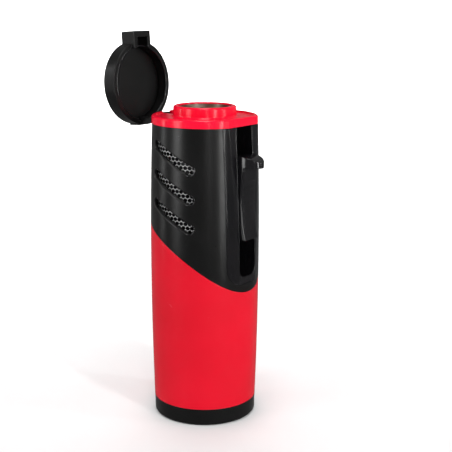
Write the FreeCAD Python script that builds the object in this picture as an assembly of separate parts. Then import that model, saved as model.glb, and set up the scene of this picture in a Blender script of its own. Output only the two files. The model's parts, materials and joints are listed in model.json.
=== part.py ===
"""Refillable triple-jet butane torch lighter with a side thumb slide, a hinged dust cap and three slanted
mesh vents.  Frame: +Z up, origin on the resting face at the centre of the base.  The vents face -Y, the
thumb slide is on +X and the cap hinge on -X.  Millimetres throughout.

The rest position is the cap open against its stop and the thumb slide released.
"""
import FreeCAD
import Part
import math
import os

V = FreeCAD.Vector
X, Y, Z = V(1, 0, 0), V(0, 1, 0), V(0, 0, 1)

# ---------------------------------------------------------------- driving dimensions
COLLAR_Z = 92.65            # underside of the red collar
BASE_RADIUS = 15.95         # body radius at the foot
BELLY_RADIUS = 16.9         # body radius at mid height
BELLY_Z = 46.0
NECK_RADIUS = 16.2          # body radius under the collar
WALL = 1.8                  # moulded wall of the outer shells
BASE_CAP_TOP = 5.4
SEAM_POINTS = [(-18.0, 63.75), (0.6, 55.5), (18.0, 40.65)]   # (x, z) of the black-to-red seam
SEAM_LAP = 3.0              # how far the upper housing reaches down inside the grip
SEAM_LIP = 0.9              # depth of that lap below the outer surface

COLLAR_THICK = 2.5
COLLAR_RADIUS = 16.3
FLAT_X = 14.65              # the collar's flat end, above the thumb slide
FLAT_HALF = 7.15
FACET_X, FACET_HALF = 13.75, 8.75   # where a narrow facet leads from the round to the flat end
RING_TOP = 98.0
RING_OUTER = 9.7
RING_INNER = 8.2
TRAY_DEPTH = 0.45           # shallow tray in the collar's top face
TRAY_BORDER = 1.3

SLOT_PITCH = 8.8            # vent slots, seen from the front
SLOT_COUNT = 3
SLOT_HALF_SPAN = 6.15
SLOT_TOP_Z = 83.5           # middle of the uppermost slot
SLOT_DROP = 6.7             # how much lower its +X end is
SLOT_RADIUS = 1.4
MESH_POCKET = 15.4          # radius of the recess in the wall that holds the mesh
MESH_OUTER = 15.37          # perforated sheet behind the slots
MESH_THICK = 0.4
MESH_HALF = 8.6
MESH_LOW, MESH_HIGH = 60.6, 90.0
HOLE_PITCH = 1.4
HOLE_ACROSS = 1.1

CHANNEL_HALF = 4.0          # thumb-slide channel
CHANNEL_FLOOR_X = 9.2
CHANNEL_FLOOR_THICK = 1.2
CHANNEL_BOTTOM = 46.7
CHANNEL_CORNER = 2.6
BEZEL_SIDE = 1.4
BEZEL_TOP_HALF = 8.75
BEZEL_LOW_HALF = 7.85
BEZEL_BOTTOM = 44.6
BEZEL_CORNER = 5.0
BEZEL_PROUD = 0.1
FACE_POINTS = [(15.85, 71.0), (16.5, 46.0)]   # (x, z) further down the bezel's gently curved face

TRAVEL = 5.5                # stroke of the thumb slide
BUTTON_HALF = 3.6
BUTTON_TOP = 84.0
BUTTON_FOOT = 58.6
BUTTON_BACK_X = 9.8
BUTTON_FACE_X = 17.5         # thumb face, under the hood
HOOD_NOSE_X, HOOD_SIDE_X = 21.8, 16.4
HOOD_LOW_Z = 80.6

HINGE_X, HINGE_Z = -15.94, 87.98
HINGE_PIN_RADIUS = 0.75
KNUCKLE_RADIUS = 1.6
KNUCKLE_HALF = 1.9
EAR_OUTER_HALF = 3.7
CAP_RADIUS = 13.05
CAP_WALL = 1.6
CAP_RIM_Z = 96.35           # with the cap closed
CAP_DEPTH = 4.95
CAP_OPEN_DEG = 94.0
ARM_X0, ARM_X1 = -12.7, -10.8       # upright run of the closed cap's hinge arm
HEEL_X = -9.3               # end of the arm's foot, which fills the collar's notch when the cap is open
TAB_HALF = 3.85
TAB_END_X = 16.3
TAB_END_WALL = 1.9
TAB_SIDE_WALL = 1.3
TAB_SKIRT = 1.15            # how far the tab's hood reaches below the cap's rim

TANK_FLOOR_Z, TANK_TOP_Z = 8.3, 42.0
TANK_OUTER, TANK_INNER = 13.9, 12.6
LID_THICK = 2.0
PORT_X = 6.5                # refill valve
ADJUSTER_X = -6.5           # flame adjuster and outlet valve
REFILL_MOUTH_RADIUS = 1.9
REFILL_MOUTH_DEPTH = 3.0
FOOT_RECESS = 0.5
BASE_SCREW = (2.0, 0.95, 6.5)       # head radius, shank radius, length
CHASSIS_SCREW = (1.9, 0.95, 4.2)

CHASSIS_Z = TANK_TOP_Z + LID_THICK
BURNER_Z = 82.0
BURNER_TOP = 89.0
BURNER_RADIUS = 7.8
JET_CIRCLE = 4.7
JET_TOP = 96.2
JET_ANGLES = {"right": 0.0, "rear": 120.0, "front": 240.0}
SPARK_X = -4.9

LEVER_X, LEVER_Z = -3.0, 58.0
CAM_SLOPE = 0.189           # sideways push of the slide's cam per mm of stroke
SHAFT_GAP = 0.05


# ---------------------------------------------------------------- helpers
def cylinder(radius, z0, z1, x=0.0, y=0.0):
    return Part.makeCylinder(radius, z1 - z0, V(x, y, z0))


def box(x0, x1, y0, y1, z0, z1):
    return Part.makeBox(x1 - x0, y1 - y0, z1 - z0, V(x0, y0, z0))


def cross_pin(radius, y0, y1, x, z):
    return Part.makeCylinder(radius, y1 - y0, V(x, y0, z), Y)


def fuse(shapes):
    whole = shapes[0]
    for shape in shapes[1:]:
        whole = whole.fuse(shape)
    return whole.removeSplitter()


def closed_face(edges):
    return Part.Face(Part.Wire([e if isinstance(e, Part.Edge) else e.toShape() for e in edges]))


def polygon(points):
    return Part.Face(Part.makePolygon(points + [points[0]]))


def line(a, b):
    return Part.LineSegment(a, b)


def arc(a, b, c):
    return Part.Arc(a, b, c)


def rounded(shape, radius, wanted):
    """shape with a fillet on every edge that wanted() picks."""
    edges = [e for e in shape.Edges if wanted(e)]
    return shape.makeFillet(radius, edges) if edges else shape


def level(z, reach=1e-3):
    """Picks edges lying at height z."""
    return lambda e: abs(e.BoundBox.ZMin - z) < reach and abs(e.BoundBox.ZMax - z) < reach


def is_circle(e, radius, z=None):
    same = hasattr(e.Curve, "Radius") and abs(e.Curve.Radius - radius) < 1e-3
    return same and (z is None or abs(e.BoundBox.ZMin - z) < 1e-3)


def circle_through(p, q, r):
    """Centre and radius of the circle through three (u, v) points."""
    (ax, ay), (bx, by), (cx, cy) = p, q, r
    d = 2 * (ax * (by - cy) + bx * (cy - ay) + cx * (ay - by))
    sa, sb, sc = ax * ax + ay * ay, bx * bx + by * by, cx * cx + cy * cy
    ux = (sa * (by - cy) + sb * (cy - ay) + sc * (ay - by)) / d
    uy = (sa * (cx - bx) + sb * (ax - cx) + sc * (bx - ax)) / d
    return ux, uy, math.hypot(ax - ux, ay - uy)


PROFILE = circle_through((BASE_RADIUS, 0), (BELLY_RADIUS, BELLY_Z), (NECK_RADIUS, COLLAR_Z))


def body_radius(z, offset=0.0):
    u, v, r = PROFILE
    return u + math.sqrt((r + offset) ** 2 - (z - v) ** 2)


def barrel(offset, z0, z1):
    """Solid of the slightly barrelled body, its skin moved outwards by offset."""
    zm = (z0 + z1) / 2
    low, mid, top = (V(body_radius(z, offset), 0, z) for z in (z0, zm, z1))
    face = closed_face([line(V(0, 0, z0), low), arc(low, mid, top), line(top, V(0, 0, z1)),
                        line(V(0, 0, z1), V(0, 0, z0))])
    solid = face.revolve(V(0, 0, 0), Z, 360)
    solid.rotate(V(0, 0, 0), Z, 135)        # keeps the surface's seam clear of the vents, slide and hinge
    return solid


def above_seam(shift=0.0):
    """Everything above the seam, which is an arc seen from the front."""
    far = 30.0
    left, mid, right = (V(x, -far, z + shift) for x, z in SEAM_POINTS)
    edge_x = SEAM_POINTS[2][0]
    top_l, top_r = V(-edge_x, -far, 120), V(edge_x, -far, 120)
    face = closed_face([arc(left, mid, right), line(right, top_r), line(top_r, top_l), line(top_l, left)])
    return face.extrude(V(0, 2 * far, 0))


def tube_along(points, radius, bore=0.0):
    """A tube on straight runs joined by tangent arcs, as large as the runs allow."""
    points = [V(*p) for p in points]
    edges, start = [], points[0]
    for before, corner, after in zip(points, points[1:], points[2:]):
        run_in, run_out = corner - before, after - corner
        turn = run_in.getAngle(run_out)
        bend = 0.45 * min(run_in.Length, run_out.Length) / math.tan(turn / 2)
        print("bend radius %.1f for tube radius %.1f" % (bend, radius))
        cut = bend * math.tan(turn / 2)
        a = corner - V(run_in).normalize() * cut
        b = corner + V(run_out).normalize() * cut
        inward = (V(run_out).normalize() - V(run_in).normalize()).normalize()
        centre = corner + inward * (bend / math.cos(turn / 2))
        edges += [line(start, a).toShape(), arc(a, centre - inward * bend, b).toShape()]
        start = b
    edges.append(line(start, points[-1]).toShape())
    path = Part.Wire(edges)
    along = points[1] - points[0]

    def swept(r):
        return path.makePipeShell([Part.Wire([Part.makeCircle(r, points[0], along)])], True, False)

    solid = swept(radius)
    return solid.cut(swept(bore)) if bore else solid


def coil_spring(x, y, z0, z1, radius, wire, turns):
    """A helical spring standing on z0, its wire drawn with eight flats."""
    pitch = (z1 - z0 - wire) / turns
    helix = Part.makeHelix(pitch, z1 - z0 - wire, radius)
    eighths = [k * math.pi / 4 for k in range(8)]
    rim = [V(radius + wire / 2 * math.cos(a), 0, wire / 2 * math.sin(a)) for a in eighths]
    spring = Part.Wire(helix.Edges).makePipeShell([Part.makePolygon(rim + [rim[0]])], True, True)
    spring.translate(V(x, y, z0 + wire / 2))
    return spring


def screw_blank(x, y, head_z, up, head_radius, shank_radius, length):
    """A countersunk screw without its recess, which is also the hole that it sits in."""
    head_h = head_radius - shank_radius + 0.3
    blank = Part.makeCone(shank_radius, head_radius, head_h - 0.3, V(0, 0, -head_h))
    blank = fuse([blank, cylinder(head_radius, -0.3, 0), cylinder(shank_radius, -length, -head_h)])
    if up < 0:
        blank.rotate(V(0, 0, 0), X, 180)
    blank.translate(V(x, y, head_z))
    return blank


def countersunk_screw(x, y, head_z, up, head_radius, shank_radius, length):
    """A cross-slotted screw; up is +1 where its head points up."""
    half, arm, deep = 0.18 * head_radius, 0.7 * head_radius, 0.5 * (head_radius - shank_radius + 0.3)
    recess = box(-arm, arm, -half, half, -deep, 1).fuse(box(-half, half, -arm, arm, -deep, 1))
    if up < 0:
        recess.rotate(V(0, 0, 0), X, 180)
    recess.translate(V(x, y, head_z))
    return screw_blank(x, y, head_z, up, head_radius, shank_radius, length).cut(recess)


# ---------------------------------------------------------------- outer casing
def bezel_outline(grow=0.0):
    """The trigger bezel's outline, extruded through the +X side of the casing."""
    r = BEZEL_CORNER
    top, low, foot = BEZEL_TOP_HALF + grow, BEZEL_LOW_HALF + grow, BEZEL_BOTTOM - grow
    cy, cz, diag = low - r, foot + r, r * math.sqrt(0.5)

    def p(y, z):
        return V(0, y, z)

    face = closed_face([
        line(p(-top, 94), p(-low, cz)), arc(p(-low, cz), p(-cy - diag, cz - diag), p(-cy, foot)),
        line(p(-cy, foot), p(cy, foot)), arc(p(cy, foot), p(cy + diag, cz - diag), p(low, cz)),
        line(p(low, cz), p(top, 94)), line(p(top, 94), p(-top, 94))])
    return face.extrude(V(30, 0, 0))


def hinge_pocket():
    """Room for the cap's knuckle and cranked arm in the casing and collar."""
    half = KNUCKLE_HALF + 0.3
    low = HINGE_Z - KNUCKLE_RADIUS - 0.35
    notch = box(-20, ARM_X1 + 0.45, -half, half, low, 97)
    return notch.fuse(box(-20, HEEL_X + 0.35, -half, half, low, COLLAR_Z)).removeSplitter()


def hinge_well():
    """Closed well behind the pocket that keeps the burner clear of it."""
    outer = KNUCKLE_HALF + 1.3
    low = HINGE_Z - KNUCKLE_RADIUS - 1.35
    well = box(-16, HEEL_X + 1.05, -outer, outer, low, COLLAR_Z)
    return well.common(cylinder(15.3, low, COLLAR_Z))


def vent_slots(radius, depth_sign):
    """Slanted stadium slots drawn on the XZ plane and pushed through one side wall."""
    slots = []
    for i in range(SLOT_COUNT):
        middle = SLOT_TOP_Z - i * SLOT_PITCH
        a = V(-SLOT_HALF_SPAN, 0, middle + SLOT_DROP / 2)
        b = V(SLOT_HALF_SPAN, 0, middle - SLOT_DROP / 2)
        along = (b - a).normalize()
        n = along.cross(Y) * radius
        face = closed_face([line(a + n, b + n), arc(b + n, b + along * radius, b - n),
                            line(b - n, a - n), arc(a - n, a - along * radius, a + n)])
        slots.append(face.extrude(V(0, 30 * depth_sign, 0)))
    return slots


def upper_housing():
    skin = barrel(0, 38, COLLAR_Z).cut(barrel(-WALL, 37, COLLAR_Z + 1)).common(above_seam())
    lap = barrel(-SEAM_LIP, 34, 70).cut(barrel(-WALL, 33, 71))
    lap = lap.common(above_seam(-SEAM_LAP)).cut(above_seam(0.0))
    pin_hole = cross_pin(HINGE_PIN_RADIUS, -9, 9, HINGE_X, HINGE_Z)
    low, high = HINGE_Z - KNUCKLE_RADIUS, HINGE_Z + KNUCKLE_RADIUS
    skin = skin.cut(box(-20, -14.0, -EAR_OUTER_HALF, EAR_OUTER_HALF, low, high))
    ears = []
    for side in (-1, 1):
        y0, y1 = sorted((side * (KNUCKLE_HALF + 0.3), side * EAR_OUTER_HALF))
        barrel_end = cross_pin(KNUCKLE_RADIUS, y0, y1, HINGE_X, HINGE_Z)
        ear = fuse([barrel_end, box(HINGE_X, -14.0, y0, y1, low, high)])
        ears.append(ear.cut(pin_hole))
    body = skin.cut(bezel_outline())
    for sign in (-1, 1):
        for slot in vent_slots(SLOT_RADIUS, sign):
            body = body.cut(slot)
        half, (y0, y1) = MESH_HALF + 0.2, sorted((0, sign * 20))
        recess = box(-half, half, y0, y1, MESH_LOW - 0.2, MESH_HIGH + 0.2)
        body = body.cut(recess.common(cylinder(MESH_POCKET, 50, 95)))
    slot_rims = [e for e in body.Edges if on_slot_rim(e)]
    body = body.makeFillet(0.3, slot_rims)
    body = fuse([body, lap, hinge_well()] + ears)
    return body.cut(hinge_pocket())


def on_slot_rim(e):
    """Outer edges of the vent slots."""
    mid = e.valueAt((e.FirstParameter + e.LastParameter) / 2)
    inside = abs(mid.x) < SLOT_HALF_SPAN + 2 * SLOT_RADIUS and 60.8 < mid.z < 90
    return inside and abs(math.hypot(mid.x, mid.y) - body_radius(mid.z)) < 0.02 and abs(mid.y) > 12


def grip_shell():
    shell = barrel(0, BASE_CAP_TOP, 70).cut(barrel(-WALL, BASE_CAP_TOP - 1, 71))
    shell = shell.cut(above_seam())
    lap = barrel(-SEAM_LIP, 34, 71).common(above_seam(-SEAM_LAP))
    return shell.cut(lap).cut(bezel_outline().common(barrel(-WALL - 3, 40, 60)))


def base_cap():
    floor_top = FOOT_RECESS + 1.8
    cap = barrel(0, 0, BASE_CAP_TOP).cut(cylinder(12.9, floor_top, BASE_CAP_TOP + 1))
    cap = cap.cut(cylinder(12.6, -1, FOOT_RECESS))
    cap = rounded(cap, 0.9, lambda e: level(0)(e) and e.BoundBox.XLength > 30)
    spigot = cylinder(14.05, BASE_CAP_TOP - 0.5, TANK_FLOOR_Z - 0.3).cut(cylinder(12.9, 0, 20))
    cap = fuse([cap, spigot])
    cap = cap.cut(cylinder(2.5, -1, 4, PORT_X)).cut(cylinder(4.3, -1, 4, ADJUSTER_X))
    for place in base_screw_places():
        cap = cap.cut(screw_blank(*place, FOOT_RECESS, -1, *BASE_SCREW))
    return cap


def trigger_bezel():
    """Glossy surround and channel that guide the thumb slide, with a slit for the slide's neck."""
    head = V(FLAT_X, -15, COLLAR_Z)
    middle, foot = (V(x, -15, z) for x, z in FACE_POINTS)
    low_out, low_in, high_in = V(foot.x, -15, 40), V(0, -15, 40), V(0, -15, COLLAR_Z)
    lean = closed_face([arc(head, middle, foot), line(foot, low_out), line(low_out, low_in),
                        line(low_in, high_in), line(high_in, head)]).extrude(V(0, 30, 0))
    outer = barrel(BEZEL_PROUD, 40, COLLAR_Z).common(bezel_outline()).common(lean)
    side = CHANNEL_HALF + BEZEL_SIDE
    trough = box(CHANNEL_FLOOR_X - CHANNEL_FLOOR_THICK, 20, -side, side, CHANNEL_BOTTOM - 1.3, COLLAR_Z + 1)
    bezel = outer.cut(barrel(-3.0, 39, COLLAR_Z + 1).cut(trough))
    h, c, r = CHANNEL_HALF, CHANNEL_BOTTOM, CHANNEL_CORNER
    diag = r * (1 - math.sqrt(0.5))

    def p(y, z):
        return V(CHANNEL_FLOOR_X, y, z)

    void = closed_face([
        line(p(-h, 95), p(-h, c + r)), arc(p(-h, c + r), p(-h + diag, c + diag), p(-h + r, c)),
        line(p(-h + r, c), p(h - r, c)), arc(p(h - r, c), p(h - diag, c + diag), p(h, c + r)),
        line(p(h, c + r), p(h, 95)), line(p(h, 95), p(-h, 95))]).extrude(V(12, 0, 0))
    slit = box(0, 12, -1.6, 1.6, 67.7 - TRAVEL, 73.9)
    return bezel.cut(void).cut(slit)


def collar_outline(inset):
    """Plan of the collar: a disc whose +X end is cut flat, with a facet at each corner."""
    z = COLLAR_Z
    flat_x, facet_x = FLAT_X - inset, FACET_X - 0.8 * inset
    flat_y, facet_y = FLAT_HALF - 0.6 * inset, FACET_HALF - 0.6 * inset
    corners = [V(facet_x, -facet_y, z), V(flat_x, -flat_y, z), V(flat_x, flat_y, z), V(facet_x, facet_y, z)]
    edges = [line(a, b) for a, b in zip(corners, corners[1:])]
    return closed_face(edges + [arc(corners[-1], V(inset - COLLAR_RADIUS, 0, z), corners[0])])


def collar():
    top = COLLAR_Z + COLLAR_THICK
    plate = collar_outline(0).extrude(V(0, 0, COLLAR_THICK))
    tray = collar_outline(TRAY_BORDER).extrude(V(0, 0, 5))
    tray.translate(V(0, 0, COLLAR_THICK - TRAY_DEPTH))
    tray = tray.cut(cylinder(RING_OUTER, 80, 110))
    plate = rounded(plate, 0.7, lambda e: level(top)(e))
    plate = plate.cut(tray)
    ring = cylinder(RING_OUTER, COLLAR_Z, RING_TOP)
    body = fuse([plate, ring])
    body = rounded(body, 0.7, lambda e: is_circle(e, RING_OUTER, top - TRAY_DEPTH))
    body = rounded(body, 0.8, lambda e: is_circle(e, RING_OUTER, RING_TOP))
    body = body.cut(cylinder(RING_INNER, 80, 110))
    body = rounded(body, 0.4, lambda e: is_circle(e, RING_INNER, RING_TOP))
    spigot = cylinder(14.15, COLLAR_Z - 2.0, COLLAR_Z + 0.2).cut(cylinder(12.9, 80, 110))
    spigot = spigot.cut(box(7, 20, -20, 20, 80, 110)).cut(box(-20, -7, -3.6, 3.6, 80, COLLAR_Z))
    return fuse([body, spigot]).cut(hinge_pocket())


def vent_mesh(sign):
    """Curved perforated sheet; sign -1 is the front one."""
    low, high = MESH_LOW, MESH_HIGH
    sheet = cylinder(MESH_OUTER, low, high).cut(cylinder(MESH_OUTER - MESH_THICK, low - 1, high + 1))
    sheet = sheet.common(box(-MESH_HALF, MESH_HALF, *sorted((0, sign * 20)), low - 1, high + 1))
    holes = []
    rows = int((high - low - 2) / (HOLE_PITCH * 0.866))
    columns = int(17.4 / HOLE_PITCH)
    wide = SLOT_RADIUS + HOLE_ACROSS
    for row in range(rows):
        z = low + 1.2 + row * HOLE_PITCH * 0.866
        for column in range(-columns // 2, columns // 2 + 2):
            s = (column + 0.5 * (row % 2)) * HOLE_PITCH
            angle = s / MESH_OUTER
            x = MESH_OUTER * math.sin(angle)
            if abs(x) < 7.9 and near_slot(x, z, wide):
                holes.append(hex_hole(angle, z, sign))
    return sheet.cut(Part.makeCompound(holes))


def near_slot(x, z, reach):
    """Whether a point, seen from the front, lies behind one of the vent slots."""
    for i in range(SLOT_COUNT):
        ax, az = -SLOT_HALF_SPAN, SLOT_TOP_Z - i * SLOT_PITCH + SLOT_DROP / 2
        bx, bz = SLOT_HALF_SPAN, SLOT_TOP_Z - i * SLOT_PITCH - SLOT_DROP / 2
        dx, dz = bx - ax, bz - az
        t = max(0.0, min(1.0, ((x - ax) * dx + (z - az) * dz) / (dx * dx + dz * dz)))
        if math.hypot(x - ax - t * dx, z - az - t * dz) < reach:
            return True
    return False


def hex_hole(angle, z, sign):
    r = HOLE_ACROSS / math.sqrt(3)
    out = V(math.sin(angle), sign * math.cos(angle), 0)
    side = V(out.y, -out.x, 0)
    centre = out * (MESH_OUTER - 1.2) + Z * z
    corners = [centre + (side * math.sin(k * math.pi / 3) + Z * math.cos(k * math.pi / 3)) * r
               for k in range(6)]
    return polygon(corners).extrude(out * 2.0)


# ---------------------------------------------------------------- cap and hinge
def opened(shape):
    """Swings a shape drawn with the cap closed to the open rest position."""
    shape = shape.copy()
    shape.rotate(V(HINGE_X, 0, HINGE_Z), Y, -CAP_OPEN_DEG)
    return shape


def cap_shell():
    """Round cap with a hollow thumb tab opposite its cranked hinge arm."""
    top = CAP_RIM_Z + CAP_DEPTH
    cup = cylinder(CAP_RADIUS, CAP_RIM_Z, top)
    cup = rounded(cup, 1.1, lambda e: is_circle(e, CAP_RADIUS, top))
    edge_x = CAP_RADIUS
    tab_low = CAP_RIM_Z - TAB_SKIRT
    tab = box(edge_x - 2.2, TAB_END_X, -TAB_HALF, TAB_HALF, tab_low, top - 0.6)
    tab = rounded(tab, 0.5, lambda e: e.BoundBox.XMax > TAB_END_X - 1e-3 and e.BoundBox.ZMax > tab_low + 0.1)
    inner = TAB_HALF - TAB_SIDE_WALL
    skirt_room = cylinder(CAP_RADIUS - CAP_WALL, tab_low - 1, CAP_RIM_Z)
    hollow = box(edge_x - 3, TAB_END_X - TAB_END_WALL, -inner, inner, tab_low - 1, top - 1.9)
    tab = tab.cut(skirt_room)
    strap = box(ARM_X0, ARM_X1, -2.7, 2.7, CAP_RIM_Z - 0.05, top - 1.3)
    strap = strap.fuse(box(ARM_X0 - 0.6, ARM_X1, -2.7, 2.7, CAP_RIM_Z - 0.05, top - 0.9))
    cavity = cylinder(CAP_RADIUS - CAP_WALL, CAP_RIM_Z - 3, top - 1.2)
    shell = fuse([cup, tab, strap.removeSplitter()]).cut(cavity).cut(hollow)
    half, thick = KNUCKLE_HALF, ARM_X1 - ARM_X0
    upright = box(ARM_X0, ARM_X1, -half, half, HINGE_Z - thick / 2, CAP_RIM_Z + 1.0)
    foot = box(HINGE_X, HEEL_X, -half, half, HINGE_Z - thick / 2, HINGE_Z + thick / 2)
    knuckle = cross_pin(KNUCKLE_RADIUS, -half, half, HINGE_X, HINGE_Z)
    shell = fuse([shell, upright, foot, knuckle])
    shell = shell.cut(cross_pin(HINGE_PIN_RADIUS + SHAFT_GAP, -9, 9, HINGE_X, HINGE_Z))
    return opened(shell)


def cap_liner():
    z1 = CAP_RIM_Z + CAP_DEPTH - 1.2
    liner = cylinder(CAP_RADIUS - CAP_WALL - 0.35, z1 - 0.5, z1)
    return opened(liner)


def hinge_pin():
    return cross_pin(HINGE_PIN_RADIUS, 0.15 - EAR_OUTER_HALF, EAR_OUTER_HALF - 0.15, HINGE_X, HINGE_Z)


# ---------------------------------------------------------------- thumb slide and piezo igniter
def trigger_button():
    """Thumb piece: a domed hood over a dished thumb face with grip ribs."""
    back, face_x, half = BUTTON_BACK_X, BUTTON_FACE_X, BUTTON_HALF
    dish_z, dish = (HOOD_LOW_Z + BUTTON_FOOT) / 2, 0.9

    def p(x, z):
        return V(x, -half, z)

    block = closed_face([
        line(p(back, BUTTON_FOOT), p(back, HOOD_LOW_Z + 1)),
        line(p(back, HOOD_LOW_Z + 1), p(face_x, HOOD_LOW_Z + 1)),
        line(p(face_x, HOOD_LOW_Z + 1), p(face_x, HOOD_LOW_Z - 1)),
        arc(p(face_x, HOOD_LOW_Z - 1), p(face_x - dish, dish_z), p(face_x + 0.6, BUTTON_FOOT)),
        line(p(face_x + 0.6, BUTTON_FOOT), p(back, BUTTON_FOOT))]).extrude(V(0, 2 * half, 0))
    block = rounded(block, 0.5, lambda e: abs(abs(e.BoundBox.YMin) - half) < 1e-3
                    and e.BoundBox.YLength < 1e-3
                    and e.BoundBox.XMin > face_x - 1.5)
    hood = closed_face([
        line(p(back, HOOD_LOW_Z), p(back, BUTTON_TOP - 1.6)),
        arc(p(back, BUTTON_TOP - 1.6), p(15.2, BUTTON_TOP), p(HOOD_NOSE_X, BUTTON_TOP - 1.7)),
        line(p(HOOD_NOSE_X, BUTTON_TOP - 1.7), p(HOOD_NOSE_X, HOOD_LOW_Z)),
        line(p(HOOD_NOSE_X, HOOD_LOW_Z), p(back, HOOD_LOW_Z))]).extrude(V(0, 2 * half, 0))
    low_left, low_right = V(HOOD_SIDE_X, -half, 50), V(HOOD_SIDE_X, half, 50)
    bow = Part.Ellipse(V(HOOD_NOSE_X, 0, 50), V(HOOD_SIDE_X, half, 50), V(HOOD_SIDE_X, 0, 50))
    front = bow.toShape(-math.pi / 2, math.pi / 2)
    plan = closed_face([front, line(low_right, V(back, half, 50)),
                        line(V(back, half, 50), V(back, -half, 50)),
                        line(V(back, -half, 50), low_left)])
    hood = hood.common(plan.extrude(V(0, 0, 50)))
    ribs = []
    for i in range(7):
        z = dish_z + (i - 3) * 2.3
        x = face_x - dish + dish * ((z - dish_z) / 10.0) ** 2 - 0.1
        ribs.append(cross_pin(0.45, 1.1 - half, half - 1.1, x, z))
    return fuse([block, hood] + ribs)


def trigger_slide():
    """Inner half of the slide: a neck through the channel floor, an arm over the plunger and a cam leg."""
    neck = box(6.9, BUTTON_BACK_X, -1.3, 1.3, 68.3, 73.4)
    arm = box(-0.7, 6.9, -2.6, 2.6, 68.3, 71.6)
    foot_z, face_x = 52.4, -0.7
    rise = 58.5 - 53.0

    def p(x, z):
        return V(x, -1.2, z)

    leg = polygon([p(face_x + 0.1, foot_z), p(0.9, foot_z), p(0.9, 68.5), p(-0.7, 68.5), p(-0.7, 60.2),
                   p(face_x - CAM_SLOPE * rise, 58.5), p(face_x, 53.0)]).extrude(V(0, 2.4, 0))
    return fuse([neck, arm, leg])


def piezo_housing():
    outer = box(1.6, 6.8, -3.6, 3.6, CHASSIS_Z + 2.0, 61.2)
    outer = rounded(outer, 0.5, lambda e: e.BoundBox.ZLength > 5)
    outer = outer.fuse(box(3.4, 5.0, 3.5, 4.9, 56.4, 58.0))
    return outer.cut(box(2.6, 5.8, -2.6, 2.6, CHASSIS_Z + 4.0, 65.0))


def piezo_plunger():
    stem = box(2.9, 5.5, -2.3, 2.3, 54.0, 67.4)
    head = box(2.2, 6.2, -3.0, 3.0, 67.0, 68.3)
    return fuse([stem, head])


def piezo_spring():
    return coil_spring(4.2, 0, CHASSIS_Z + 4.0, 54.0, 1.2, 0.4, 7)


def ignition_lead():
    route = [(4.2, 4.25, 58.0), (4.2, 4.25, 67.0), (1.0, 3.8, 71.8), (-3.2, 1.6, 74.6), (SPARK_X, 0, 78.0),
             (SPARK_X, 0, BURNER_Z)]
    return tube_along(route, 0.6)


# ---------------------------------------------------------------- burner
def chassis():
    plate = cylinder(13.5, CHASSIS_Z, CHASSIS_Z + 2.0)
    walls = [box(-10.1, 6.8, *sorted((side * 5.5, side * 7.0)), CHASSIS_Z + 1.5, BURNER_Z - 1.0)
             for side in (-1, 1)]
    walls = [w.cut(box(-6.0, 3.5, -9, 9, 63.5, 76.0)) for w in walls]
    deck = cylinder(12.4, BURNER_Z - 2.0, BURNER_Z)
    cross_wall = box(-10.1, -8.9, -5.6, 5.6, CHASSIS_Z + 1.5, BURNER_Z - 1.0)
    frame = fuse([plate, deck, cross_wall] + walls)
    frame = frame.cut(box(7.0, 20, -20, 20, 40, 100))
    frame = frame.cut(cylinder(3.0, 40, 51, ADJUSTER_X)).cut(cylinder(0.8, 70, 84, SPARK_X))
    frame = frame.cut(cylinder(1.35, 70, 84, 0, -3.8))
    frame = frame.cut(cross_pin(0.6, -9, 9, LEVER_X, LEVER_Z))
    for place in chassis_screw_places():
        frame = frame.cut(screw_blank(*place, CHASSIS_Z + 2.0, 1, *CHASSIS_SCREW))
    for side in (-1, 1):
        frame = frame.cut(cylinder(0.8, 70, 90, 0, 6.7 * side))
    return frame


def chassis_screw_places():
    return [(-4.0, 10.0), (-4.0, -10.0)]


def chassis_screws():
    return Part.makeCompound([countersunk_screw(*place, CHASSIS_Z + 2.0, 1, *CHASSIS_SCREW)
                              for place in chassis_screw_places()])


def burner_block():
    block = cylinder(BURNER_RADIUS, BURNER_Z, BURNER_TOP)
    block = rounded(block, 0.4, lambda e: is_circle(e, BURNER_RADIUS, BURNER_TOP))
    block = fuse([block, cylinder(1.3, BURNER_Z - 2.2, BURNER_Z + 0.1, 0, -3.8)])
    block = block.cut(cylinder(0.6, BURNER_Z - 3, 84, 0, -3.8))
    gallery = cylinder(5.9, 83.4, 84.6).cut(cylinder(2.0, 83, 85, SPARK_X))
    block = block.cut(gallery)
    for x, y in jet_places().values():
        block = block.cut(cylinder(1.5, 84.0, 95, x, y))
    block = block.cut(cylinder(1.15, 80, 95, SPARK_X))
    for side in (-1, 1):
        block = block.cut(cylinder(0.85, 80, 95, 0, 6.7 * side))
        block = block.cut(cylinder(1.6, BURNER_TOP - 1.1, 95, 0, 6.7 * side))
    return block


def jet_places():
    return {name: (JET_CIRCLE * math.cos(math.radians(a)), JET_CIRCLE * math.sin(math.radians(a)))
            for name, a in JET_ANGLES.items()}


def jet_nozzle(x, y):
    stem = cylinder(1.5, 84.6, 89.1, x, y)
    flange = cylinder(2.05, 89.0, 89.8, x, y)
    barrel_part = cylinder(1.8, 89.7, JET_TOP, x, y)
    barrel_part = rounded(barrel_part, 0.3, lambda e: is_circle(e, 1.8, JET_TOP))
    jet = fuse([stem, flange, barrel_part])
    jet = jet.cut(cylinder(1.2, 90.6, 100, x, y)).cut(cylinder(0.3, 84, 91, x, y))
    port = Part.makeCylinder(0.45, 6, V(x, y - 3, 91.6), Y)
    return jet.cut(port)


def jet_coils():
    """Glow coils that steady each flame, one in the mouth of every jet."""
    coils = [coil_spring(x, y, 92.6, 95.6, 0.78, 0.28, 5) for x, y in jet_places().values()]
    return Part.makeCompound(coils)


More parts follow.
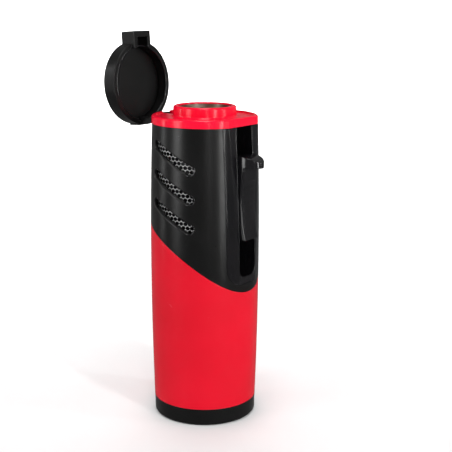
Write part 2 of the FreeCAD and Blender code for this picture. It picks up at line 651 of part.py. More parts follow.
def burner_screws():
    screws = []
    for side in (-1, 1):
        head = cylinder(1.5, BURNER_TOP - 1.1, BURNER_TOP - 0.1, 0, 6.7 * side)
        head = head.cut(box(-1.1, 1.1, 6.7 * side - 0.2, 6.7 * side + 0.2, BURNER_TOP - 0.6, BURNER_TOP + 1))
        screws.append(fuse([head, cylinder(0.8, 80.4, BURNER_TOP - 1.0, 0, 6.7 * side)]))
    return Part.makeCompound(screws)


def heat_shield():
    """Stainless cup that lines the collar's ring, pierced for the jets, the spark wire and air."""
    low = 91.3
    cup = cylinder(RING_INNER - 0.3, low, 97.5).cut(cylinder(RING_INNER - 0.65, low + 0.4, 99))
    for x, y in jet_places().values():
        cup = cup.cut(cylinder(2.05, 80, 95, x, y))
    cup = cup.cut(cylinder(1.35, 80, 95, SPARK_X))
    for k in range(6):
        a = math.radians(30 + 60 * k)
        cup = cup.cut(cylinder(0.5, 80, 95, 6.3 * math.cos(a), 6.3 * math.sin(a)))
    return cup.cut(cylinder(0.7, 80, 95))


def spark_insulator():
    tube = cylinder(1.1, BURNER_Z, 94.4, SPARK_X).cut(cylinder(0.4, 80, 96, SPARK_X))
    return rounded(tube, 0.25, lambda e: is_circle(e, 1.1, 94.4))


def spark_electrode():
    z = 95.2
    wire = [line(V(SPARK_X, 0, BURNER_Z), V(SPARK_X, 0, z - 0.8)),
            arc(V(SPARK_X, 0, z - 0.8), V(SPARK_X + 0.234, 0, z - 0.234), V(SPARK_X + 0.8, 0, z)),
            line(V(SPARK_X + 0.8, 0, z), V(SPARK_X + 1.9, 0, z))]
    path = Part.Wire([e.toShape() for e in wire])
    return path.makePipeShell([Part.Wire([Part.makeCircle(0.3, V(SPARK_X, 0, BURNER_Z), Z)])], True, False)


def gas_tube():
    route = [(ADJUSTER_X, 0, 60.4), (ADJUSTER_X, 0, 67.0), (-3.0, -2.4, 73.0),
             (0, -3.8, 76.5), (0, -3.8, 79.7)]
    return tube_along(route, 1.1, 0.55)


# ---------------------------------------------------------------- valves
def valve_lever():
    boss = cross_pin(1.0, -2.2, 2.2, LEVER_X, LEVER_Z)
    stalk = box(LEVER_X - 0.6, LEVER_X + 0.6, -1.1, 1.1, 52.6, LEVER_Z)
    nub = cross_pin(0.7, -1.1, 1.1, LEVER_X + 1.4, 53.0)
    foot = box(LEVER_X - 0.6, LEVER_X + 1.4, -1.1, 1.1, 52.4, 53.4)
    prongs = [box(-6.9, LEVER_X, *sorted((side * 1.5, side * 2.2)), 57.5, 58.5) for side in (-1, 1)]
    lever = fuse([boss, stalk, nub, foot] + prongs)
    return lever.cut(cross_pin(0.6 + SHAFT_GAP, -9, 9, LEVER_X, LEVER_Z))


def valve_lever_pin():
    return cross_pin(0.6, -7.0, 7.0, LEVER_X, LEVER_Z)


def outlet_valve_body():
    body = cylinder(2.8, TANK_TOP_Z + 0.1, 50.5, ADJUSTER_X)
    body = body.cut(cylinder(1.15, 40, 45.6, ADJUSTER_X)).cut(cylinder(0.5, 45, 46.5, ADJUSTER_X))
    return body.cut(cylinder(1.9, 46.2, 49.8, ADJUSTER_X)).cut(cylinder(1.3, 49, 52, ADJUSTER_X))


def outlet_valve_stem():
    piston = cylinder(1.7, 46.7, 47.3, ADJUSTER_X)
    tube = cylinder(1.15, 47.2, 59.6, ADJUSTER_X)
    flange = cylinder(2.1, 58.75, 59.4, ADJUSTER_X)
    nipple = cylinder(0.5, 59.5, 62.6, ADJUSTER_X)
    stem = fuse([piston, tube, flange, nipple])
    return stem.cut(cylinder(0.45, 47.9, 59.0, ADJUSTER_X)).cut(cylinder(0.25, 58.9, 63, ADJUSTER_X))


def outlet_valve_spring():
    return coil_spring(ADJUSTER_X, 0, 47.4, 49.8, 1.52, 0.25, 3)


def outlet_valve_seal():
    return cylinder(1.7, 46.2, 46.65, ADJUSTER_X).cut(cylinder(0.5, 46, 47, ADJUSTER_X))


def refill_valve_body():
    low = FOOT_RECESS
    mouth = low + REFILL_MOUTH_DEPTH
    body = cylinder(2.45, low, 13.0, PORT_X)
    body = body.cut(cylinder(REFILL_MOUTH_RADIUS, low - 1, mouth, PORT_X))
    body = body.cut(cylinder(1.05, 3, 6, PORT_X)).cut(cylinder(1.75, mouth + 2.0, 11.6, PORT_X))
    return body.cut(cylinder(0.6, 11, 14, PORT_X))


def refill_valve_stem():
    return fuse([cylinder(0.9, 3.6, 6.1, PORT_X), cylinder(1.5, 5.95, 6.8, PORT_X)])


def refill_valve_gasket():
    return cylinder(1.55, 5.52, 5.93, PORT_X).cut(cylinder(0.9, 5, 7, PORT_X))


def refill_valve_spring():
    return coil_spring(PORT_X, 0, 6.85, 11.6, 1.2, 0.3, 5)


def flame_adjuster():
    """Knurled knob set in the foot, with a screwdriver slot and the rod that turns the outlet valve."""
    knob = cylinder(4.0, 0.3, 3.2, ADJUSTER_X)
    knob = rounded(knob, 0.3, lambda e: is_circle(e, 4.0, 0.3))
    for k in range(24):
        a = math.radians(15 * k)
        notch = cylinder(0.22, 0, 2.35, ADJUSTER_X + 4.0 * math.cos(a), 4.0 * math.sin(a))
        knob = knob.cut(notch)
    knob = knob.cut(box(ADJUSTER_X - 3.0, ADJUSTER_X + 3.0, -0.5, 0.5, 0, 1.3))
    flange = cylinder(4.9, 2.45, 3.2, ADJUSTER_X)
    rod = cylinder(1.0, 3.1, 45.2, ADJUSTER_X)
    return fuse([knob, flange, rod])


# ---------------------------------------------------------------- fuel tank
def fuel_tank():
    tank = cylinder(TANK_OUTER, TANK_FLOOR_Z, TANK_TOP_Z)
    tank = rounded(tank, 1.0, lambda e: is_circle(e, TANK_OUTER, TANK_FLOOR_Z))
    tank = tank.cut(cylinder(TANK_INNER, TANK_FLOOR_Z + 1.5, TANK_TOP_Z + 1))
    sleeve = cylinder(2.2, TANK_FLOOR_Z, TANK_TOP_Z, ADJUSTER_X)
    boss = cylinder(3.5, 3.4, TANK_FLOOR_Z + 1.0, PORT_X)
    posts = [cylinder(2.3, 2.5, TANK_FLOOR_Z + 1.0, *place) for place in base_screw_places()]
    tank = fuse([tank, sleeve, boss] + posts)
    tank = tank.cut(cylinder(1.3, 0, 60, ADJUSTER_X)).cut(cylinder(2.45, 0, 12, PORT_X))
    for place in base_screw_places():
        tank = tank.cut(screw_blank(*place, FOOT_RECESS, -1, *BASE_SCREW))
    return tank


def tank_lid():
    lid = cylinder(TANK_OUTER, TANK_TOP_Z, TANK_TOP_Z + LID_THICK)
    lid = lid.cut(cylinder(2.8, 40, 50, ADJUSTER_X))
    for x, y in chassis_screw_places():
        lid = lid.cut(cylinder(0.95, 40, 50, x, y))
    return lid


def base_screw_places():
    return [(0.0, -9.3), (0.0, 9.3)]


def base_screws():
    return Part.makeCompound([countersunk_screw(*place, FOOT_RECESS, -1, *BASE_SCREW)
                              for place in base_screw_places()])


# ---------------------------------------------------------------- output
def parts():
    jets = {"jet_nozzle_" + name: jet_nozzle(x, y) for name, (x, y) in jet_places().items()}
    return {
        "base_cap": base_cap(), "grip_shell": grip_shell(), "upper_housing": upper_housing(),
        "trigger_bezel": trigger_bezel(), "collar": collar(),
        "vent_mesh_front": vent_mesh(-1), "vent_mesh_rear": vent_mesh(1),
        "cap_shell": cap_shell(), "cap_liner": cap_liner(), "hinge_pin": hinge_pin(),
        "trigger_button": trigger_button(), "trigger_slide": trigger_slide(),
        "piezo_housing": piezo_housing(), "piezo_plunger": piezo_plunger(), "piezo_spring": piezo_spring(),
        "ignition_lead": ignition_lead(), "chassis": chassis(), "chassis_screws": chassis_screws(),
        "burner_block": burner_block(), "burner_screws": burner_screws(), **jets,
        "jet_coils": jet_coils(), "heat_shield": heat_shield(),
        "spark_insulator": spark_insulator(), "spark_electrode": spark_electrode(), "gas_tube": gas_tube(),
        "valve_lever": valve_lever(), "valve_lever_pin": valve_lever_pin(),
        "outlet_valve_body": outlet_valve_body(), "outlet_valve_stem": outlet_valve_stem(),
        "outlet_valve_spring": outlet_valve_spring(), "outlet_valve_seal": outlet_valve_seal(),
        "refill_valve_body": refill_valve_body(), "refill_valve_stem": refill_valve_stem(),
        "refill_valve_gasket": refill_valve_gasket(), "refill_valve_spring": refill_valve_spring(),
        "flame_adjuster": flame_adjuster(), "fuel_tank": fuel_tank(), "tank_lid": tank_lid(),
        "base_screws": base_screws(),
    }


def main():
    os.makedirs("parts", exist_ok=True)
    for name, shape in parts().items():
        solids = len(shape.Solids)
        print("%-22s %8.1f mm3, %d solid(s), valid %s" % (name, shape.Volume, solids, shape.isValid()))
        shape.exportStep(os.path.join("parts", name + ".step"))


if __name__ == "__main__":
    main()
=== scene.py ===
"""Looks of the triple-jet butane torch lighter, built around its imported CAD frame."""
import json
import math

import bmesh
import bpy
from mathutils import Matrix, Vector


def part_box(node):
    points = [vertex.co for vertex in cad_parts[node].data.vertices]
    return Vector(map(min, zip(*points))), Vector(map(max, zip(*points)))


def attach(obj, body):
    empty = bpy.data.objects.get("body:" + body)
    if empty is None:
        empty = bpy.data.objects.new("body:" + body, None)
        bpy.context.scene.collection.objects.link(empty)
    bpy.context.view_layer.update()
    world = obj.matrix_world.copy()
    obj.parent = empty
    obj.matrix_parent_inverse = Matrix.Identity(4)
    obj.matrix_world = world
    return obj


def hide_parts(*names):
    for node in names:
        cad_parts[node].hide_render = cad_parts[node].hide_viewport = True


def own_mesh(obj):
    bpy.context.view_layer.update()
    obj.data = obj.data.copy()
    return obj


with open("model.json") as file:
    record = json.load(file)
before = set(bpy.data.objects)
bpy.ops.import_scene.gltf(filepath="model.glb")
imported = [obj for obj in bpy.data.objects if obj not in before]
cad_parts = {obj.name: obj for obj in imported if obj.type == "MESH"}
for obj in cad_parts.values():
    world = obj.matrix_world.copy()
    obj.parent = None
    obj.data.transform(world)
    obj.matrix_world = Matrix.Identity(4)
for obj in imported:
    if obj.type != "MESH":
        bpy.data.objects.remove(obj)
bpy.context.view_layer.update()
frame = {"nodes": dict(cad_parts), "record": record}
NODES = frame["nodes"]
MM = 0.001

# ---------------------------------------------------------------- sizes shared by several pieces, in mm
SEAM_POINTS = [(-18.0, 63.75), (0.6, 55.5), (18.0, 40.65)]    # (x, z) of the black-to-red seam
SEAM_FIRST_GUESS = 52.0                                       # z that the search for the seam starts from
COLLAR_Z = 92.65                                              # underside of the red collar
BARREL = [(15.95, 0.0), (16.9, 46.0), (16.2, COLLAR_Z)]       # (radius, z) of the outer skin
SLOT_COUNT, SLOT_PITCH, SLOT_TOP_Z = 3, 8.8, 83.5
SLOT_HALF_SPAN, SLOT_DROP, SLOT_RADIUS = 6.15, 6.7, 1.4
SIDES = [(-1, "front"), (1, "rear")]                          # sign of y and name of the two vented sides
MESH_RADIUS = 15.17                                           # middle of the perforated sheet
MESH_REACH = 8.2                                              # furthest hole from the middle
MESH_THICK, MESH_WEB = 0.26, 0.34
HOLE_PITCH = 1.4
BEZEL_TOP_HALF, BEZEL_LOW_HALF, BEZEL_BOTTOM, BEZEL_CORNER = 8.75, 7.85, 44.6, 5.0
CHANNEL_HALF, CHANNEL_BOTTOM, CHANNEL_CORNER = 4.05, 46.65, 2.6
FACE_POINTS = [(14.65, COLLAR_Z), (15.85, 71.0), (16.5, 46.0)]   # (x, z) down the bezel's curved face
HINGE_X, HINGE_Z, CAP_OPEN_DEG = -15.94, 87.98, 94.0
CAP_INNER_RADIUS, CAP_RIM_Z = 11.45, 96.35                    # with the cap shut
EDGE_RADIUS, EDGE_TOP = 0.20, 92.3                            # rolled edges of the bezel, and their tops
SLOT_LIP_RADIUS, SLOT_LIP_GAP, SLOT_LIP_SUNK = 0.17, 0.24, 0.10
SEAM_LIP_RADIUS, SEAM_LIP_SUNK, SEAM_LIP_DROP = 0.22, 0.21, 0.18


# ---------------------------------------------------------------- helpers
def link(name, mesh, body):
    obj = bpy.data.objects.new(name, mesh)
    bpy.context.scene.collection.objects.link(obj)
    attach(obj, body)
    return obj


def circle_through(p, q, r):
    """Centre and radius of the circle through three (u, v) points."""
    (ax, ay), (bx, by), (cx, cy) = p, q, r
    d = 2 * (ax * (by - cy) + bx * (cy - ay) + cx * (ay - by))
    sa, sb, sc = ax * ax + ay * ay, bx * bx + by * by, cx * cx + cy * cy
    ux = (sa * (by - cy) + sb * (cy - ay) + sc * (ay - by)) / d
    uy = (sa * (cx - bx) + sb * (ax - cx) + sc * (bx - ax)) / d
    return ux, uy, math.hypot(ax - ux, ay - uy)


BARREL_ARC = circle_through(*BARREL)
SEAM_ARC = circle_through(*SEAM_POINTS)


def skin_radius(z):
    """Radius of the lighter's outer skin at height z, in mm."""
    u, v, r = BARREL_ARC
    return u + math.sqrt(r * r - (z - v) ** 2)


def seam_height(x):
    """Height of the black-to-red seam at x, in mm."""
    u, v, r = SEAM_ARC
    sign = 1 if SEAM_POINTS[1][1] > v else -1
    return v + sign * math.sqrt(r * r - (x - u) ** 2)


def apply_modifiers(obj):
    """Bakes a piece's modifiers into its mesh."""
    graph = bpy.context.evaluated_depsgraph_get()
    mesh = bpy.data.meshes.new_from_object(obj.evaluated_get(graph))
    obj.modifiers.clear()
    obj.data = mesh
    return obj


def closed_tube(name, points, radius, body, sides=10, cyclic=True):
    """A round bead along a line of points, in mm."""
    curve = bpy.data.curves.new(name, "CURVE")
    curve.dimensions = "3D"
    spline = curve.splines.new("NURBS")
    spline.points.add(len(points) - 1)
    for p, point in zip(points, spline.points):
        point.co = (*(c * MM for c in p), 1)
    spline.use_cyclic_u = cyclic
    spline.order_u = 3
    spline.use_endpoint_u = not cyclic
    curve.bevel_depth = radius * MM
    curve.bevel_resolution = sides // 2
    curve.use_fill_caps = True
    obj = bpy.data.objects.new(name, curve)
    bpy.context.scene.collection.objects.link(obj)
    bpy.context.view_layer.update()
    mesh = bpy.data.meshes.new_from_object(obj.evaluated_get(bpy.context.evaluated_depsgraph_get()))
    bpy.data.objects.remove(obj)
    piece = link(name, mesh, body)
    for polygon in mesh.polygons:
        polygon.use_smooth = True
    return piece


# ---------------------------------------------------------------- materials
class Shader:
    """A Principled material and short ways to wire its nodes."""

    def __init__(self, name, color, rough, metallic=0.0, **fixed):
        self.material = bpy.data.materials.new(name)
        self.material.use_nodes = True
        self.tree = self.material.node_tree
        self.bsdf = self.tree.nodes["Principled BSDF"]
        self.bsdf.inputs["Base Color"].default_value = (*color, 1)
        self.bsdf.inputs["Roughness"].default_value = rough
        self.bsdf.inputs["Metallic"].default_value = metallic
        for key, value in fixed.items():
            self.bsdf.inputs[key.replace("_", " ").title().replace("Ior", "IOR")].default_value = value
        self.coords = self.node("ShaderNodeTexCoord").outputs["Object"]

    def node(self, kind, **settings):
        node = self.tree.nodes.new(kind)
        for key, value in settings.items():
            setattr(node, key, value)
        return node

    def link(self, a, b):
        self.tree.links.new(a, b)

    def stretched(self, scale):
        mapping = self.node("ShaderNodeMapping")
        mapping.inputs["Scale"].default_value = scale
        self.link(self.coords, mapping.inputs["Vector"])
        return mapping.outputs["Vector"]

    def noise(self, scale, detail=4.0, rough=0.5, stretch=(1, 1, 1)):
        node = self.node("ShaderNodeTexNoise")
        node.inputs["Scale"].default_value = scale
        node.inputs["Detail"].default_value = detail
        node.inputs["Roughness"].default_value = rough
        self.link(self.stretched(stretch), node.inputs["Vector"])
        return node.outputs["Fac"]

    def remap(self, value, low, high, start=0.0, stop=1.0):
        node = self.node("ShaderNodeMapRange")
        for key, number in (("From Min", start), ("From Max", stop), ("To Min", low), ("To Max", high)):
            node.inputs[key].default_value = number
        self.link(value, node.inputs["Value"])
        return node.outputs["Result"]

    def ramp(self, value, stops):
        node = self.node("ShaderNodeValToRGB")
        elements = node.color_ramp.elements
        while len(elements) < len(stops):
            elements.new(0.5)
        for element, (position, color) in zip(elements, stops):
            element.position = position
            element.color = (*color, 1)
        self.link(value, node.inputs["Fac"])
        return node.outputs["Color"]

    def color(self, socket):
        self.link(socket, self.bsdf.inputs["Base Color"])

    def roughness(self, socket):
        self.link(socket, self.bsdf.inputs["Roughness"])

    def bump(self, height, strength, distance):
        node = self.node("ShaderNodeBump")
        node.inputs["Strength"].default_value = strength
        node.inputs["Distance"].default_value = distance
        self.link(height, node.inputs["Height"])
        self.link(node.outputs["Normal"], self.bsdf.inputs["Normal"])
        return node

    def round_edges(self, radius, bump):
        """Shades hard edges as if they had a small radius, in mm, under the bump."""
        node = self.node("ShaderNodeBevel", samples=8)
        node.inputs["Radius"].default_value = radius * MM
        self.link(node.outputs["Normal"], bump.inputs["Normal"])


def satin_black():
    """Moulded black plastic with a fine spark-eroded grain."""
    m = Shader("satin_black_plastic", (0.004, 0.004, 0.005), 0.28, specular_ior_level=0.30)
    m.color(m.ramp(m.noise(90, 3), [(0.3, (0.003, 0.003, 0.003)), (0.75, (0.005, 0.005, 0.005))]))
    m.roughness(m.remap(m.noise(240, 5), 0.25, 0.34))
    m.round_edges(0.18, m.bump(m.noise(5200, 3, 0.6), 0.12, 0.00005))
    return m.material


def cap_black():
    """Dust cap plastic, slightly coarser."""
    m = Shader("cap_black_plastic", (0.004, 0.004, 0.005), 0.28, specular_ior_level=0.34)
    m.color(m.ramp(m.noise(110, 3), [(0.3, (0.003, 0.003, 0.003)), (0.75, (0.005, 0.005, 0.005))]))
    m.roughness(m.remap(m.noise(300, 4), 0.24, 0.36))
    m.round_edges(0.30, m.bump(m.noise(3600, 4, 0.6), 0.22, 0.00007))
    return m.material


def gloss_black():
    m = Shader("gloss_black_plastic", (0.004, 0.004, 0.005), 0.13, specular_ior_level=0.50)
    m.roughness(m.remap(m.noise(160, 4), 0.10, 0.18))
    m.color(m.ramp(m.noise(60, 2), [(0.3, (0.003, 0.003, 0.004)), (0.8, (0.007, 0.006, 0.007))]))
    m.round_edges(0.40, m.bump(m.noise(900, 3), 0.03, 0.00004))
    return m.material


def red_plastic(name, dark, bright, low, high):
    """Glossy moulded red with a faint tone drift and moulding ripple."""
    m = Shader(name, bright, 0.2, specular_ior_level=0.3)
    m.color(m.ramp(m.noise(38, 3), [(0.25, dark), (0.8, bright)]))
    m.roughness(m.remap(m.noise(220, 5), low, high))
    m.round_edges(0.12, m.bump(m.noise(420, 3), 0.05, 0.00006))
    return m.material


def metal(name, dark, bright, low, high, stretch=(1, 1, 1), scale=900, metallic=1.0):
    """Machined or rolled metal with fine directional lines."""
    m = Shader(name, bright, 0.3, metallic=metallic)
    lines = m.noise(scale, 5, 0.6, stretch)
    m.color(m.ramp(m.noise(130, 3), [(0.3, dark), (0.75, bright)]))
    m.roughness(m.remap(lines, low, high))
    m.round_edges(0.08, m.bump(lines, 0.12, 0.00003))
    return m.material


def moulded(name, dark, bright, low, high, grain=1800):
    m = Shader(name, bright, 0.5, ior=1.5)
    m.color(m.ramp(m.noise(80, 3), [(0.3, dark), (0.75, bright)]))
    m.roughness(m.remap(m.noise(260, 4), low, high))
    m.round_edges(0.10, m.bump(m.noise(grain, 3), 0.15, 0.00005))
    return m.material


def burnt_steel():
    """Stainless heat shield, blued and browned by the flames."""
    m = Shader("heat_tinted_steel", (0.4, 0.38, 0.36), 0.3, metallic=1.0)
    tint = [(0.25, (0.16, 0.18, 0.27)), (0.5, (0.36, 0.31, 0.27)), (0.8, (0.50, 0.47, 0.43))]
    m.color(m.ramp(m.noise(210, 4), tint))
    m.roughness(m.remap(m.noise(700, 4), 0.22, 0.42))
    m.bump(m.noise(1500, 3), 0.1, 0.00003)
    return m.material


def make_materials():
    return {
        "satin_black": satin_black(),
        "cap_black": cap_black(),
        "gloss_black": gloss_black(),
        "red_gloss": red_plastic("red_grip_plastic", (0.60, 0.0006, 0.012), (0.72, 0.0010, 0.018),
                                 0.20, 0.30),
        "red_collar": red_plastic("red_collar_plastic", (0.80, 0.002, 0.026), (0.90, 0.003, 0.034),
                                  0.15, 0.24),
        "mesh_steel": metal("bright_mesh_steel", (0.92, 0.92, 0.92), (0.98, 0.98, 0.98), 0.34, 0.48,
                            metallic=0.15),
        "steel": metal("turned_steel", (0.42, 0.42, 0.43), (0.58, 0.58, 0.59), 0.22, 0.40, (1, 1, 12)),
        "heat_steel": burnt_steel(),
        "brass": metal("machined_brass", (0.55, 0.36, 0.12), (0.78, 0.56, 0.24), 0.18, 0.34, (1, 1, 14)),
        "diecast": metal("cast_zinc", (0.34, 0.34, 0.35), (0.52, 0.52, 0.53), 0.34, 0.55),
        "ceramic": moulded("glazed_ceramic", (0.74, 0.72, 0.66), (0.86, 0.84, 0.79), 0.18, 0.30),
        "tank_clear": moulded("smoked_tank_plastic", (0.40, 0.41, 0.41), (0.56, 0.57, 0.56), 0.22, 0.36),
        "frame_grey": moulded("dark_frame_plastic", (0.030, 0.030, 0.033), (0.055, 0.055, 0.060),
                              0.42, 0.60),
        "rubber": moulded("black_rubber", (0.012, 0.012, 0.012), (0.025, 0.025, 0.025), 0.60, 0.80),
        "lead_black": moulded("lead_insulation", (0.015, 0.015, 0.016), (0.03, 0.03, 0.032), 0.40, 0.55),
    }


MATERIALS = make_materials()


def finish_with(obj, slot_name):
    """Gives a piece the one material of the named record slot."""
    obj.data.materials.clear()
    obj.data.materials.append(MATERIALS[slot_name])
    return obj


def paint_cad_nodes():
    slots = {part["node"]: part["material_slot"] for part in frame["record"]["subparts"]}
    for name, obj in NODES.items():
        material = MATERIALS[slots[name]]
        if not obj.material_slots:
            obj.data.materials.append(material)
        for holder in obj.material_slots:
            holder.material = material


# ---------------------------------------------------------------- pieces
def distance_to_slot(x, z):
    """How far a point, seen from the front, lies from the middle line of the nearest vent slot."""
    best = 1e9
    for i in range(SLOT_COUNT):
        middle = SLOT_TOP_Z - i * SLOT_PITCH
        ax, az, bx, bz = -SLOT_HALF_SPAN, middle + SLOT_DROP / 2, SLOT_HALF_SPAN, middle - SLOT_DROP / 2
        dx, dz = bx - ax, bz - az
        t = max(0.0, min(1.0, ((x - ax) * dx + (z - az) * dz) / (dx * dx + dz * dz)))
        best = min(best, math.hypot(x - ax - t * dx, z - az - t * dz))
    return best


def grille(name, side, node):
    """Round-holed steel mesh with soft webs, curved to follow the body. side is -1 in front."""
    low, high = (corner.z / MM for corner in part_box(node))
    cell = HOLE_PITCH / math.sqrt(3)
    bm = bmesh.new()
    made = {}

    def corner(s, z):
        key = (round(s, 3), round(z, 3))
        if key not in made:
            angle = s / MESH_RADIUS
            made[key] = bm.verts.new((MESH_RADIUS * math.sin(angle) * MM,
                                      side * MESH_RADIUS * math.cos(angle) * MM, z * MM))
        return made[key]

    holes = []
    row_step = 1.5 * cell
    rows = int((high - low - 2 * cell) / row_step)
    for row in range(rows + 1):
        z = low + cell + row * row_step
        for column in range(-6, 7):
            s = (column + 0.5 * (row % 2)) * HOLE_PITCH
            if abs(s) > MESH_REACH:
                continue
            ring = [corner(s + cell * math.sin(k * math.pi / 3), z + cell * math.cos(k * math.pi / 3))
                    for k in range(6)]
            face = bm.faces.new(ring if side < 0 else ring[::-1])
            x = MESH_RADIUS * math.sin(s / MESH_RADIUS)
            if distance_to_slot(x, z) < SLOT_RADIUS + HOLE_PITCH:
                holes.append(face)
    bmesh.ops.inset_individual(bm, faces=holes, thickness=MESH_WEB / 2 * MM, use_even_offset=True)
    bmesh.ops.delete(bm, geom=holes, context="FACES")
    mesh = bpy.data.meshes.new(name)
    bm.to_mesh(mesh)
    bm.free()
    piece = link(name, mesh, "lighter_body")
    solid = piece.modifiers.new("thickness", "SOLIDIFY")
    solid.thickness = MESH_THICK * MM
    solid.offset = 0
    soft = piece.modifiers.new("soft webs", "SUBSURF")
    soft.levels = soft.render_levels = 2
    apply_modifiers(piece)
    for polygon in piece.data.polygons:
        polygon.use_smooth = True
    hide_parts(node)
    return finish_with(piece, "mesh_steel")


def seam_bead():
    """Polished lip along the top edge of the red grip, all the way round the body."""
    points = []
    for k in range(240):
        angle = 2 * math.pi * k / 240
        z = SEAM_FIRST_GUESS
        for _ in range(4):
            x = skin_radius(z) * math.cos(angle)
            z = seam_height(x)
        radius = skin_radius(z) - SEAM_LIP_SUNK
        points.append((radius * math.cos(angle), radius * math.sin(angle), z - SEAM_LIP_DROP))
    bead = closed_tube("grip_seam_lip", points, SEAM_LIP_RADIUS, "lighter_body")
    return finish_with(bead, "red_gloss")


def slot_lip(name, side, row):
    """Rounded lip round one vent slot, lying on the skin. side is -1 in front."""
    middle = SLOT_TOP_Z - row * SLOT_PITCH
    reach = math.hypot(SLOT_HALF_SPAN, SLOT_DROP / 2)
    ux, uz = SLOT_HALF_SPAN / reach, -SLOT_DROP / 2 / reach
    gap = SLOT_RADIUS + SLOT_LIP_GAP
    points = []
    for end, start in ((1, -math.pi / 2), (-1, math.pi / 2)):
        for k in range(13):
            a = start + math.pi * k / 12
            along, across = end * reach + gap * math.cos(a), gap * math.sin(a)
            x, z = along * ux - across * uz, middle + along * uz + across * ux
            points.append((x, side * (math.sqrt(skin_radius(z) ** 2 - x * x) - SLOT_LIP_SUNK), z))
    return finish_with(closed_tube(name, points, SLOT_LIP_RADIUS, "lighter_body"), "gloss_black")


def edge_bead(name, top_half, low_half, bottom, corner):
    """Rolled edge on the thumb slide's bezel: down one side, round two corners and up the other."""
    u, v, r = circle_through(*FACE_POINTS)
    slope = (top_half - low_half) / (COLLAR_Z - bottom)
    drop = EDGE_TOP - bottom - corner
    right = [(low_half + slope * (drop * (1 - k / 24) + corner), EDGE_TOP - drop * k / 24)
             for k in range(25)]
    right += [(low_half - corner * (1 - math.cos(a)), bottom + corner * (1 - math.sin(a)))
              for a in (k * math.pi / 16 for k in range(1, 9))]
    points = []
    for y, z in [(-y, z) for y, z in right] + right[::-1]:
        face = u + math.sqrt(r * r - (z - v) ** 2)
        x = min(math.sqrt(skin_radius(z) ** 2 - y * y), face)
        points.append((x - 0.05, y, z))
    return finish_with(closed_tube(name, points, EDGE_RADIUS, "lighter_body", cyclic=False), "gloss_black")


def cap_rim_lip():
    """Rounded inner edge of the dust cap's rim, in the open pose the frame rests in."""
    turn = math.radians(-CAP_OPEN_DEG)
    points = []
    for k in range(72):
        a = 2 * math.pi * k / 72
        radius = CAP_INNER_RADIUS + 0.16
        dx, dz = radius * math.cos(a) - HINGE_X, CAP_RIM_Z + 0.10 - HINGE_Z
        points.append((HINGE_X + dx * math.cos(turn) + dz * math.sin(turn), radius * math.sin(a),
                       HINGE_Z - dx * math.sin(turn) + dz * math.cos(turn)))
    return finish_with(closed_tube("cap_rim_lip", points, 0.20, "dust_cap"), "gloss_black")


def spring(node, turns, wire):
    """Round-wire coil in place of a CAD spring."""
    low, high = (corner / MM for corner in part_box(node))
    middle = (low + high) / 2
    radius = (high.x - low.x) / 2 - wire / 2
    count = turns * 20
    points = []
    for k in range(count + 1):
        a = 2 * math.pi * turns * k / count
        z = low.z + wire / 2 + (high.z - low.z - wire) * k / count
        points.append((middle.x + radius * math.cos(a), middle.y + radius * math.sin(a), z))
    piece = closed_tube("coil_" + node, points, wire * 0.48, "lighter_body", cyclic=False)
    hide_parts(node)
    finish_with(piece, "steel")
    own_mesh(piece)


def make_pieces():
    spring("piezo_spring", 7, 0.40)
    spring("outlet_valve_spring", 3, 0.25)
    spring("refill_valve_spring", 5, 0.30)
    for row in range(SLOT_COUNT):
        for side, word in SIDES:
            slot_lip("slot_lip_%s_%d" % (word, row), side, row)
    edge_bead("bezel_edge", BEZEL_TOP_HALF, BEZEL_LOW_HALF, BEZEL_BOTTOM, BEZEL_CORNER)
    edge_bead("channel_edge", CHANNEL_HALF, CHANNEL_HALF, CHANNEL_BOTTOM, CHANNEL_CORNER)
    cap_rim_lip()
    for side, word in SIDES:
        grille("grille_" + word, side, "vent_mesh_" + word)
    seam_bead()


# ---------------------------------------------------------------- studio, in metres
AWAY = Vector((-0.605, 0.796, 0))               # level direction from the camera past the lighter
ACROSS = Vector((0.796, 0.605, 0))
LIGHT_AIM = Vector((0, 0, 0.06))
FLOOR_REACH, SWEEP_START, SWEEP_RADIUS, WALL_HEIGHT = 4.0, 1.2, 0.6, 3.0


def area_light(name, azimuth, elevation, distance, size, power):
    """A softbox aimed at the lighter's middle; azimuth 0 is along +X and -90 is in front of the vents."""
    data = bpy.data.lights.new(name, "AREA")
    data.shape = "RECTANGLE"
    data.size, data.size_y = size
    data.energy = power
    light = bpy.data.objects.new(name, data)
    bpy.context.scene.collection.objects.link(light)
    a, e = math.radians(azimuth), math.radians(elevation)
    direction = Vector((math.cos(e) * math.cos(a), math.cos(e) * math.sin(a), math.sin(e)))
    light.location = LIGHT_AIM + distance * direction
    aim_at(light, LIGHT_AIM)
    return light


def aim_at(light, target):
    light.rotation_euler = (target - light.location).to_track_quat("-Z", "Y").to_euler()


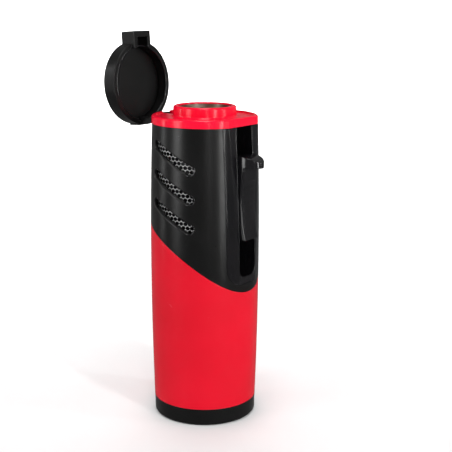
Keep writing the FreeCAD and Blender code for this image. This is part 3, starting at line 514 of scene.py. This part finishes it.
def floor_and_wall():
    """A pale floor that sweeps up into a wall far behind the lighter. Glossy rays pass through it."""
    profile = [(-FLOOR_REACH, 0.0), (SWEEP_START, 0.0)]
    for k in range(1, 13):
        a = k * math.pi / 24
        profile.append((SWEEP_START + SWEEP_RADIUS * math.sin(a), SWEEP_RADIUS - SWEEP_RADIUS * math.cos(a)))
    profile.append((SWEEP_START + SWEEP_RADIUS, WALL_HEIGHT))
    bm = bmesh.new()
    rows = []
    for d, z in profile:
        foot = AWAY * d + Vector((0, 0, z))
        rows.append([bm.verts.new(foot + ACROSS * side) for side in (-FLOOR_REACH, FLOOR_REACH)])
    for (a, b), (c, d) in zip(rows, rows[1:]):
        bm.faces.new((a, b, d, c)).smooth = True
    mesh = bpy.data.meshes.new("floor")
    bm.to_mesh(mesh)
    bm.free()
    floor = bpy.data.objects.new("floor", mesh)
    bpy.context.scene.collection.objects.link(floor)
    m = Shader("pale_floor", (0.78, 0.78, 0.78), 0.8)
    m.roughness(m.remap(m.noise(6, 3), 0.74, 0.86))
    floor.data.materials.append(m.material)
    floor.visible_glossy = False


def studio():
    """The floor and wall, softboxes, and a dim room."""
    floor_and_wall()
    world = bpy.data.worlds.new("studio")
    bpy.context.scene.world = world
    world.use_nodes = True
    background = world.node_tree.nodes["Background"]
    background.inputs["Color"].default_value = (1, 1, 1, 1)
    background.inputs["Strength"].default_value = 0.18

    area_light("key", -14.5, 12, 0.70, (0.06, 0.60), 2.9)
    area_light("edge", 22, 14, 0.70, (0.015, 0.50), 1.3)
    area_light("cap side", -150, 10, 0.75, (0.05, 0.60), 0.8)
    area_light("front", -43, 14, 0.75, (0.012, 0.50), 0.5)
    area_light("left", -112, 12, 0.75, (0.22, 0.60), 2.3)
    area_light("top", -60, 80, 0.90, (0.24, 0.50), 4.2)
    wash = area_light("wall wash", 127, 50, 1.3, (2.4, 0.5), 90.0)
    aim_at(wash, AWAY * (SWEEP_START + SWEEP_RADIUS) + Vector((0, 0, 0.25)))
    bpy.context.scene.view_settings.view_transform = "Standard"


def camera():
    """The viewpoint: in front and to the thumb slide's side, slightly above."""
    data = bpy.data.cameras.new("camera")
    data.sensor_width = 36.0
    data.lens = 81.6
    data.clip_start = 0.01
    eye = bpy.data.objects.new("camera", data)
    bpy.context.scene.collection.objects.link(eye)
    place = Vector((0.1945, -0.24497, 0.13147))
    forward = Vector((-0.59, 0.7762, -0.2224)).normalized()
    up = Vector((-0.1381, 0.1743, 0.975))
    right = forward.cross(up).normalized()
    up = right.cross(forward)
    eye.matrix_world = Matrix.Translation(place) @ Matrix((right, up, -forward)).transposed().to_4x4()
    bpy.context.scene.camera = eye


paint_cad_nodes()
make_pieces()
studio()
camera()
